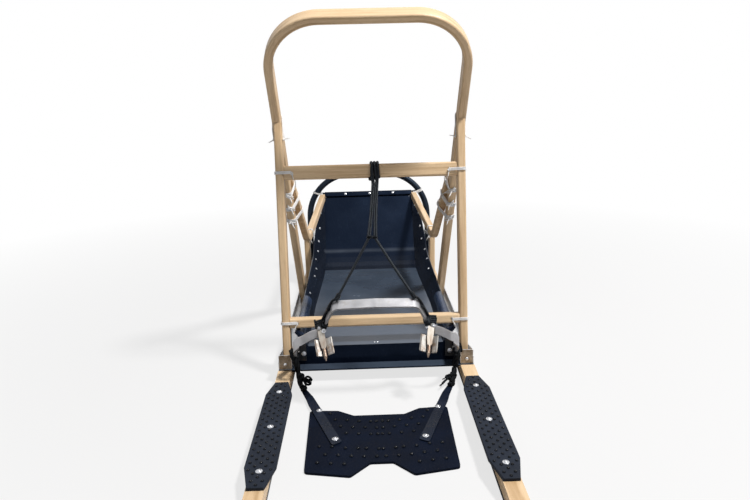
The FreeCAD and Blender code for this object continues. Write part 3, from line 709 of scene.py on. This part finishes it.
def wind(batch, radius, points, origin, normal, grow, turns, pitch, begin, wobble=0.0, sides=8,
         start_run=0.0):
    """Cord pulled tight round a group of points, turn beside turn. Returns its path."""
    normal = normal.normalized()
    side = normal.orthogonal().normalized()
    over = normal.cross(side)
    flat = [Vector(((p - origin).dot(side), (p - origin).dot(over))) for p in points]
    hull = [flat[i] for i in convex_hull_2d(flat)]
    if sum(a.x * b.y - a.y * b.x for a, b in zip(hull, hull[1:] + hull[:1])) < 0:
        hull.reverse()
    # the hull grown by the cord's radius, with its corners turned in short steps
    ring = []
    for i, b in enumerate(hull):
        first, then = b - hull[i - 1], hull[(i + 1) % len(hull)] - b
        if first.length < 1e-6 or then.length < 1e-6:
            continue
        a0, a1 = atan2(-first.x, first.y), atan2(-then.x, then.y)
        while a1 < a0:
            a1 += 2 * pi
        steps = max(1, int((a1 - a0) / 0.5))
        for j in range(steps + 1):
            t = a0 + (a1 - a0) * j / steps
            ring.append(b + grow * Vector((cos(t), sin(t))))
    # evenly spaced points along it
    lengths = [0.0]
    for a, b in zip(ring, ring[1:] + ring[:1]):
        lengths.append(lengths[-1] + (b - a).length)
    count = max(12, int(lengths[-1] / 0.003))
    even, k = [], 0
    for j in range(count):
        want = lengths[-1] * j / count
        while lengths[k + 1] < want:
            k += 1
        share = (want - lengths[k]) / max(lengths[k + 1] - lengths[k], 1e-9)
        even.append(ring[k].lerp(ring[(k + 1) % len(ring)], share))
    to = Vector((begin.dot(side), begin.dot(over)))
    shift = max(range(count), key=lambda j: even[j].dot(to))
    path = []
    for j in range(int(turns * count) + 1):
        q = even[(j + shift) % count]
        along = pitch * (j / count - turns / 2)
        along += wobble * sin(j * 0.37 + shift) * min(1.0, j / 8)
        path.append(origin + side * q.x + over * q.y + normal * along)
    tube(batch, path, radius, sides, start_run)
    return path


def oval(centre, a, b, step=pi / 6, count=12):
    """Points round an oval with two half axes given as vectors."""
    return [centre + a * cos(k * step) + b * sin(k * step) for k in range(count)]


def knot(batch, centre, axis, radius):
    side, over, out = basis_for(axis, rng.uniform(0, 3))
    path = []
    for j in range(33):
        t = 2 * pi * j / 32
        x, y = sin(t) + 2 * sin(2 * t), cos(t) - 2 * cos(2 * t)
        path.append(centre + (side * x + over * y + out * -sin(3 * t) * 1.1) * radius * 0.85)
    tube(batch, path, radius, 8)


def tail(batch, start, way, length, radius, fall=0.5, fray=5):
    """Loose end of a cord that droops, with its fibres spread at the cut."""
    way = Vector(way).normalized()
    bend = vec(rng.uniform(-1, 1), rng.uniform(-1, 1), rng.uniform(-0.4, 0.4)) * length * 0.12
    points = [start]
    for t in (0.25, 0.5, 0.75, 1.0):
        points.append(start + way * length * t + bend * sin(t * 2.6) - Z * fall * length * t * t)
    path = smooth_path(points, 0.0025)
    tube(batch, path, radius, 8)
    end_way = (path[-1] - path[-2]).normalized()
    for _ in range(fray):
        out = (end_way + Vector([rng.uniform(-0.5, 0.5) for _ in range(3)])).normalized()
        reach = radius * rng.uniform(2.2, 3.6)
        hair = [path[-1], path[-1] + out * reach * 0.5,
                path[-1] + out * reach + end_way * radius * 0.4]
        tube(batch, hair, lambda t: radius * (0.34 - 0.22 * t), 5)


# Details

def rail_lashings():
    """Three lashings on each side hold the side rail's arm to the bow."""
    rows = {"left": ((294, 195.0), (296.5, 208.8), (299, 221.0)),
            "right": ((449, 190.0), (447.5, 204.5), (446.5, 216.5))}
    for label, sign in SIDES:
        b = Batch(white_cord)
        ends = []
        for i, (px, py) in enumerate(rows[label]):
            spot = pixel_on(px, py, BOW_FOOT, BOW_FACE)
            spot.x = sign * 0.24
            normal = Matrix.Rotation(rng.uniform(-0.1, 0.1), 3, BOW_FACE) @ BOW_UP
            points = section([f"side_rail_{label}"], spot, normal, 0.1)
            points += section(["driving_bow"], spot, normal, 0.075)
            path = wind(b, 0.0018, points, middle_of(points), normal, 0.0019, 4.0 + 0.3 * (i % 2),
                        0.0036, vec(-sign, -0.35, 0), 0.0006, start_run=rng.uniform(0, 1))
            # a turn across the others and the knot on the bow's rear face
            rear = [p for p in path if p.dot(BOW_FACE) < spot.dot(BOW_FACE) + 0.004]
            knot_at = min(rear, key=lambda p: abs(p.x - sign * (0.2445 + 0.002 * i)))
            knot_at = knot_at - BOW_FACE * 0.0024
            for lift in (-0.0035, 0.0045):
                lay(b, [knot_at + BOW_UP * lift + vec(sign * x, 0, 0) + BOW_UP * y - BOW_FACE * z
                        for x, y, z in ((-0.013, -0.007, -0.003), (-0.008, -0.004, 0.0004),
                                        (0.0, 0.0, 0.0015), (0.005, 0.004, 0.0004),
                                        (0.0085, 0.007, -0.004))], 0.0017, 8, 0.003)
            knot(b, knot_at, vec(-sign * 0.4, -1, 0.3), 0.0017)
            tail(b, knot_at, (-sign * 0.5, -0.7, -0.25), rng.uniform(0.011, 0.017), 0.0016, 0.6)
            tail(b, knot_at, (sign * 0.4, -0.8, 0.4), rng.uniform(0.009, 0.013), 0.0016, 0.3)
            ends.append(path[0])
        if label == "right":
            # one cord runs from the crossbar up through the three lashings
            start = on_bar(214, 17, -2)
            for i, end in enumerate(ends):
                before = start if i == 0 else ends[i - 1] + vec(-0.003, 0, 0)
                middle = before.lerp(end, 0.5) + vec(-0.004 - 0.002 * i, 0.002, 0)
                lay(b, [before, middle, end + BOW_UP * 0.004], 0.0015, 8)
        b.done(f"rail_lashings_{label}")


def bar_lashings():
    """Cord through the hole in each crossbar end and round the upright."""
    for label, sign in SIDES:
        for name, level, depth in (("upper", UPPER_BAR, 27), ("lower", LOWER_BAR, 34)):
            b = Batch(white_cord)
            middle = on_bar(sign * 236, 0, 0, level)
            points = section([f"rear_upright_{label}"], middle, UP_DIR, 0.05)
            for fore in (-depth / 2, depth / 2):
                points.append(on_bar(sign * 215.7, fore, 0, level))
            wind(b, 0.0015, points, middle, UP_DIR, 0.0016, 3.0, 0.0027, vec(-sign, -1, 0), 0.0001)
            start = on_bar(sign * 215.0, -depth / 2 - 1.5, -3.0, level)
            if name == "upper":
                knot(b, start + vec(-sign * 0.002, -0.001, 0), -Y, 0.0013)
                tail(b, start, (-sign * 0.25, -0.25, -0.8), 0.014, 0.0013, 0.2)
                far = on_bar(sign * 214.0, depth / 2 + 1.5, -2.0, level)
                tail(b, far, (-sign * 0.1, 0.2, -1.0), 0.022 if sign > 0 else 0.03, 0.001, 0.2)
            else:
                tail(b, start, (sign * 0.5, -0.3, -0.6), 0.01, 0.0013, 0.3)
            b.done(f"{name}_bar_lashing_{label}")


def joint_lashings():
    """Cord through a hole near the upright's top and round the front of the bow."""
    for label, sign, px, low, high in (("left", -1, 280, 139.5, 125.0),
                                       ("right", 1, 459, 136.0, 122.0)):
        b = Batch(white_cord)
        hole = pixel_on(px, low, at(0, *UP_FOOT), UP_FACE)
        hole.x = sign * 0.2474
        front = pixel_on(px, high, BOW_FOOT, BOW_FACE)
        front.x = sign * BOW_HALF
        front += BOW_FACE * 0.043
        way = front - hole
        way.x = 0
        normal = X.cross(way).normalized()
        points = section(["driving_bow"], front, normal, 0.06)
        points += [hole + vec(x, 0, 0) for x in (-0.0112, 0.0112)]
        wind(b, 0.0014, points, hole, normal, 0.0014, 3.0, 0.0028, -way, 0.0003)
        for out in (-1, 1):
            root = hole + vec(out * 0.0135, -0.002, 0)
            knot(b, root, vec(out, 0, 0.2), 0.0013)
            lift = 0.35 if out == -sign else -0.35
            tail(b, root, (out, -0.25, lift), 0.014, 0.0013, 0.15, 6)
        b.done(f"joint_lashing_{label}")


def hoop_lashings():
    """Nose corners tied to the hoop, stanchions tied to its legs, cord on the rail's bend."""
    for label, sign in SIDES:
        b = Batch(white_cord)
        # nose corner
        normal = vec(-sign * 0.3, -0.1, 1).normalized()
        points = section(["brush_bow"], at(sign * 222, 985, 320), normal, 0.032)
        points += mirrored(at, sign, (178, 972, 312), (178, 990, 312), (184, 968, 312))
        path = wind(b, 0.0016, points, middle_of(points), normal, 0.0017, 2.4, 0.0033,
                    vec(-sign, -0.8, 0), 0.0006)
        knot(b, path[0] + vec(0, -0.002, -0.001), vec(0, -1, 0.2), 0.0015)
        tail(b, path[0], (-sign * 0.7, -0.4, -0.3), 0.013, 0.0012, 0.4)
        # loose end outside the hoop
        side = max(path, key=lambda p: p.x * sign)
        tail(b, side.lerp(path[0], 0.25), (sign * 0.3, -0.5, 0.8), 0.011, 0.0014, 0.2)
        # stanchion to hoop leg, with turns across between the two
        normal = vec(0, 0.12, 1).normalized()
        spot = at(sign * 250, 890, 157)
        points = section([f"front_stanchion_{label}", "brush_bow"], spot, normal, 0.09)
        path = wind(b, 0.0015, points, spot, normal, 0.0016, 4.0, 0.0031, vec(-sign, -1, 0),
                    0.0003)
        wind(b, 0.0014, oval(spot, X * 0.0128, Z * 0.008), spot, Y, 0.0012, 3.0, 0.003,
             vec(-sign, 0, 1))
        knot(b, path[0] + vec(0, -0.001, -0.004), -Y, 0.0014)
        tail(b, path[0], (-sign * 0.6, -0.3, -0.5), 0.014, 0.0012, 0.4)
        # thin cord round the rail where its bend begins
        middle = at(sign * 211.5, 528, 258.4)
        way = vec(-sign * 0.05, 0.995, 0.088).normalized()
        points = section([f"side_rail_{label}"], middle, way, 0.02)
        wind(b, 0.0013, points, middle_of(points), way, 0.0013, 2.6, 0.0027, Z, 0.0002)
        b.done(f"hoop_lashings_{label}")


def bungee_cord():
    """Elastic cord: turns on the upper crossbar and two double strands down to the fork."""
    b = Batch(bungee)
    middle = on_bar(9, 0, 0)
    points = section(["upper_crossbar"], middle, X, 0.05)
    wind(b, 0.0038, points, middle, X, 0.004, 3.0, 0.0083, -UP_DIR - UP_FACE, 0.0002, 12)
    top, low = on_bar(10.3, -24, -36), at(-3, -3, 366)
    forks = {side: at(-3 + side * 8.6, -3, 366) for side in (-1, 1)}
    for side, first in ((-1, 3.2), (1, 17.0)):
        for off in (-2.45, 2.45):
            strand = [on_bar(x + off, fore, lift) for x, fore, lift in (
                (first, -17.6, 12), (first, -18.0, -12), (10.3 + side * 5.9, -20, -24),
                (10.3 + side * 4.9, -24, -36))]
            for share, half in ((0.2, 4.9), (0.45, 5.1), (0.7, 6.2), (0.9, 7.8), (1.0, 8.6)):
                strand.append(top.lerp(low, share) + vec((side * half + off) * 0.001, 0, 0))
            lay(b, strand, 0.0025)
    way = (forks[1] + forks[-1] - top * 2).normalized()
    tie = (forks[1] + forks[-1]) / 2 - way * 0.004
    ring = [p for side in (-1, 1) for p in oval(tie + X * side * 0.0106, X * 0.0026,
                                                way.cross(X) * 0.0026, 0.7, 9)]
    wind(b, 0.001, ring, tie, way, 0.0011, 2.0, 0.0021, -Y, 0.0002)
    b.done("bungee_strands", "frame", "bungee_cord", ["bungee_upper"])
    return forks


def brake_cords(forks):
    """Elastic legs from the fork to the treadle bow, and the cord tied along the bow's legs."""
    for label, side in SIDES:
        corner = in_brake(side * 98, 73.5, -13)
        start = forks[side]
        b = Batch(bungee)
        lay(b, [start + vec(0, 0, 0.001), start.lerp(corner, 0.5) + vec(0, 0, -0.0015), corner],
            0.0034)
        leg = b.done(f"bungee_leg_{label}", None, "bungee_cord")
        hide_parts("bungee_fork")
        tuple(start)
        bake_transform(leg)
        # whipping at the corner, then the cord along the leg's outer face to the spike's root
        b = Batch(bungee)
        way = (start - corner).normalized()
        wind(b, 0.0019, oval(corner, X * 0.003, Y * 0.003, 1, 7), corner + way * 0.006, way,
             0.002, 5.0, 0.0036, Z, 0.0002)
        lay(b, [corner] + mirrored(in_brake, side, (106, 71, -13.5), (113.5, 59, -13),
                                   (122, 39, -12.5), (131, 18, -11), (138, 2, -7)), 0.0034)
        lay(b, mirrored(in_brake, side, (121, 43, -8), (130, 24, -8), (139, 4, -3)), 0.003)
        knot(b, in_brake(side * 118.5, 47, -10), vec(side * 0.9, 0, 0.4), 0.0026)
        for low, turns in ((8, 1.6), (0, 1.4)):
            spot = in_brake(side * (136 - low * 0.43), low, 0)
            across = vec(side * 0.397, 0, 0) - BRAKE_UP * 0.918
            wind(b, 0.0028, section(["brake_bow"], spot, across, 0.026), spot, across, 0.0028,
                 turns, 0.0058, X * side, 0.0004, 10)
        knot(b, in_brake(side * 141, -1, 0), vec(side, -0.4, 0), 0.0028)
        # turns round the arm, whose axis dips back and points a little inward
        dip, toe = radians(41), radians(10.3)
        axis = vec(-side * sin(toe), -cos(dip) * cos(toe), -sin(dip) * cos(toe))
        for along, turns in ((-3.5, 2.3), (7, 1.5)):
            spot = at(side * 145, -70, 161) + axis * (along * 0.001)
            wind(b, 0.0026, section([f"brake_arm_{label}"], spot, axis, 0.0135), spot, axis,
                 0.0026, turns, 0.0054, vec(side, 0, 0.6), 0.0003, 10)
        down = mirrored(in_brake, side, (141, 0, 2), (143, -10, 7), (142, -22, 11))
        lay(b, down, 0.003)
        tail(b, down[-1], (-side * 0.1, -0.4, -0.9), 0.012, 0.0028, 0.1, 4)
        b.done(f"brake_cord_{label}", "brake", "bungee_cord", ["brake_knots"])


def tow_ropes():
    """Black ropes from the hinges to the mat's straps, in halves that meet where they bend."""
    for label, s in SIDES:
        b = Batch(black_rope)
        bundle(b, mirrored(at, s, (226, -5, 53), (222, -15, 43), (219, -17.5, 25), (216, -17, 9),
                           (214, -16, 1)), 4, 0.0033, 0.0046, 0.085)
        bundle(b, mirrored(at, s, (216, -8, 52), (214.5, -14, 34), (213, -16, 14),
                           (212, -15.5, 1)), 2, 0.0028, 0.0028, 0.06)
        for x, y, z, turns in ((229, 6, 46, 2.6), (216, 4, 50, 1.7)):
            hub = at(s * x, y, z)
            wind(b, 0.0031, oval(hub, Y * 0.0078, Z * 0.0078), hub, vec(1, 0.1, 0), 0.0032, turns,
                 0.0056 * s, vec(0, -1, 0.3), 0.0006, 10)
        knot(b, at(s * 221, -16, 38), vec(0.3 * s, -1, 0.3), 0.0032)
        b.done(f"tow_rope_upper_{label}", "frame", "tow_rope", [f"mat_rope_upper_{label}"])
        b = Batch(black_rope)
        bundle(b, mirrored(at, s, (213.5, -15.7, -4), (211, -28, -12), (206, -49, -18),
                           (198, -69, -20.5)), 4, 0.0032, 0.0043, 0.085)
        knot(b, at(s * 197, -70, -21.5), Z, 0.0032)
        # side knot, with two ends on the right, and a loop and one end on the left
        hitch = at(205, -46, -12) if s > 0 else at(-204, -34, -8)
        knot(b, hitch, vec(s * 0.4, -1, 0.5), 0.0034)
        if s > 0:
            lay(b, [hitch, hitch + vec(-0.012, -0.006, 0.002),
                    hitch + vec(-0.02, -0.016, -0.003)], 0.0032, step=0.003)
            knot(b, hitch + vec(-0.013, -0.008, 0.001), vec(-0.3, -1, 0.4), 0.0028)
            tail(b, hitch + vec(-0.019, -0.015, -0.002), (-0.75, -0.55, -0.35), 0.017, 0.0031, 0.1)
            tail(b, hitch + vec(-0.01, -0.006, 0.003), (-0.8, -0.3, 0.3), 0.015, 0.0028)
        else:
            loop = oval(hitch + vec(0.018, -0.012, -0.004), X * 0.009, Z * 0.012, pi / 5, 10)
            lay(b, [hitch, *loop, hitch + vec(0.004, -0.006, -0.006)], 0.0031, step=0.003)
            tail(b, hitch + vec(0.006, -0.008, -0.004), (0.5, -0.8, -0.4), 0.016, 0.0028, 0.2)
        b.done(f"tow_rope_lower_{label}", "mat", "tow_rope", [f"mat_rope_lower_{label}"])


def mat_details():
    """Studs on the mat's right half and their mirror images, and the straps' bolts."""
    half = [(120.5, -185), (7.5, -227), (21.5, -227), (49, -224), (78, -218), (107, -214),
            (7.5, -255), (35, -252), (64, -249), (93, -244), (5.5, -281), (21.5, -281),
            (50, -278), (79, -274), (5, -340), (33, -337), (51, -335), (80, -333), (110, -326),
            (139, -324), (10, -368), (38, -367), (66, -364), (95, -359), (124, -355), (81, -392),
            (110, -388), (139.5, -384)]
    b = Batch(stud)
    for x, v in half:
        for sign in (-1, 1):
            set_on(b, STUD, at(sign * x, v, MAT_TOP), Z, rng.uniform(0, 6), 1.28)
    b.done("mat_studs", "mat", "tread_rubber")
    b = Batch(zinc)
    for x, v in ((148, -173), (104, -300)):
        for sign in (-1, 1):
            screw(b, at(sign * x, v, MAT_TOP + 3.3), Z, 1.05)
    b.done("mat_bolts", "mat", crease=40)


def bed_details():
    """Screws of the bed and the hinges, and the band and bolts along the nose."""
    b = Batch(zinc, sheet_blue)
    # pixels of the picture where the bright and the dark heads show
    flange = [(320.9, 213), (320.0, 228.3), (318.9, 241.3), (318.2, 251.2), (316.0, 259.3),
              (316.4, 268.7), (314.9, 276.2), (310.2, 293.0), (418.4, 212.5), (419.9, 225.8),
              (421.4, 238.5), (424.6, 249.2), (426.8, 258.5), (428.4, 268.5)]
    dark = [(316.5, 279.5), (314.5, 286.7), (429.4, 277.6), (430.6, 284.2), (432.4, 291.5)]
    for px, py in flange:
        spot, normal = find("bed", px, py)
        screw(b, spot, normal, rng.uniform(0.6, 0.7))
    for px, py in dark:
        spot, normal = find("bed", px, py)
        set_on(b, DOME, spot, normal, 0.0, 0.85, look=1)
    for px in (374.6, 377.6):
        screw(b, pixel_on(px, 342.0, at(0, 0, 54.05), Z), Z, 0.6, washer=False)
    for px, py in ((303.9, 353.7), (449.9, 350.3)):
        spot, normal = find(f"brake_hinge_{side_of(px)}", px, py)
        screw(b, spot, normal, 0.95, nut=True)
    b.done("bed_bolts", crease=40)
    # folded band along the nose's top edge, open below
    b = Batch(sheet_blue)
    out, slope = leaned(-53.6)
    top = at(0, 980, 317)
    profile = [(-0.5, 0.3), (0.8, 1.6), (1.0, 4.2), (0.2, 6.2), (-2.0, 7.0), (-19.0, 8.0),
               (-20.2, 7.4), (-20.0, 6.2), (-18.6, 5.7), (-3.2, 4.6), (-2.2, 3.8), (-2.2, 0.3)]
    columns = 36
    verts = []
    for i in range(columns + 1):
        share = i / columns
        x = -0.181 + 0.362 * share
        sway = 0.0005 * sin(share * 17) + 0.0004 * sin(share * 41)
        for down, lift in profile:
            verts.append(top + vec(x, 0, 0) + slope * (down * 0.001)
                         + out * (lift * 0.001 + sway * min(1, -down / 20 if down < 0 else 0)))
    n = len(profile)
    b.add(verts, quads(columns + 1, n) + lids(columns + 1, n))
    b.done("nose_band", "frame", "bed_plastic", crease=50)
    b = Batch(zinc)
    for x in (-95, 6, 103):
        screw(b, top + vec(x * 0.001, 0, 0) - slope * 0.0105 + out * 0.0075, out, 0.62)
    b.done("nose_bolts", crease=40)


def brake_details():
    """Bolts on whichever of the arm and the bow a pixel shows."""
    b = Batch(zinc)
    for px, py, scale, nut in ((319.4, 328.5, 0.75, True), (326.8, 330.8, 0.85, True),
                               (433.3, 322.1, 0.75, False), (433.6, 326.0, 0.75, False),
                               (425.8, 327.3, 0.85, True)):
        found = [find(name, px, py) for name in (f"brake_arm_{side_of(px)}", "brake_bow")]
        spot, normal = min(filter(None, found), key=lambda f: (f[0] - cam_at).length)
        screw(b, spot, normal, scale, nut=nut)
    b.done("brake_bolts", "brake", crease=40)


def channel_details():
    """Bracket at each channel's rear end, with its slotted screw, and the channel's bolts."""
    for label, sign in SIDES:
        b = Batch(alu, brown_face_alu)
        slab(b, cornered(34.0, 0.5, 43.5, 4.0), at(sign * 250.5, 0, 0), X, Z, 0.0018, 0.0011,
             face_look=1)
        cheek = [(-1.6, 1), (66, 1), (66, 27), (52, 31), (4, 43), (0, 43.2), (-1.6, 41)]
        for x in (233.6, 265.6):
            slab(b, cheek, at(sign * x + 0.8, 0, 0), Y, Z, -0.0016, 0.0003)
        b.done(f"end_bracket_{label}", crease=30)
        b = Batch(zinc, claw)
        spot, back = at(sign * 250, -1.8, 15), -Y
        set_on(b, PAN, spot, back)
        # the cross recess is drawn as two darker bars on the head, as painted shade
        for turn in (0.4, 0.4 + pi / 2):
            along = vec(cos(turn), 0, sin(turn))
            slab(b, [(-2.2, -0.5), (2.2, -0.5), (2.2, 0.5), (-2.2, 0.5)], spot + back * 0.0022,
                 along, along.cross(back), 0.0003, 0.0001, 1, 1)
        for v, z in ((75, 14), (500, 15), (596, 15)):
            for x, way in ((269, sign), (233, -sign)):
                screw(b, at(sign * x, v, z), X * way, 0.75)
        b.done(f"channel_bolts_{label}", crease=40)


def tread_details():
    """Grip studs in staggered rows on the foot pads, clear of the pads' bolts."""
    for label, side in SIDES[::-1]:
        b, bolts = Batch(stud), Batch(zinc)
        heads = [at(side * 249.5, v, PAD_TOP) for v in (-138, -298, -461)]
        for row, v in enumerate(range(-96, -506, -12)):
            # the pads narrow from 33 to 17 at both ends
            half = min(33, 17 + 16 * min((-85 - v) / 63, (v + 512) / 66))
            for x in (-11.4, 11.4) if row % 2 else (-22.9, 0.0, 22.9):
                point = at(side * (249.7 + x), v, PAD_TOP)
                clear = min((point - head).length for head in heads) >= 0.0105
                if clear and abs(x) <= half - 4.5:
                    set_on(b, STUD, point, Z, rng.uniform(0, 6))
        b.done(f"tread_studs_{label}", "frame", "tread_rubber")
        for head in heads:
            screw(bolts, head, Z)
        bolts.done(f"tread_bolts_{label}", crease=40)


studio()
rail_lashings()
bar_lashings()
joint_lashings()
hoop_lashings()
brake_cords(bungee_cord())
tow_ropes()
mat_details()
bed_details()
brake_details()
channel_details()
tread_details()
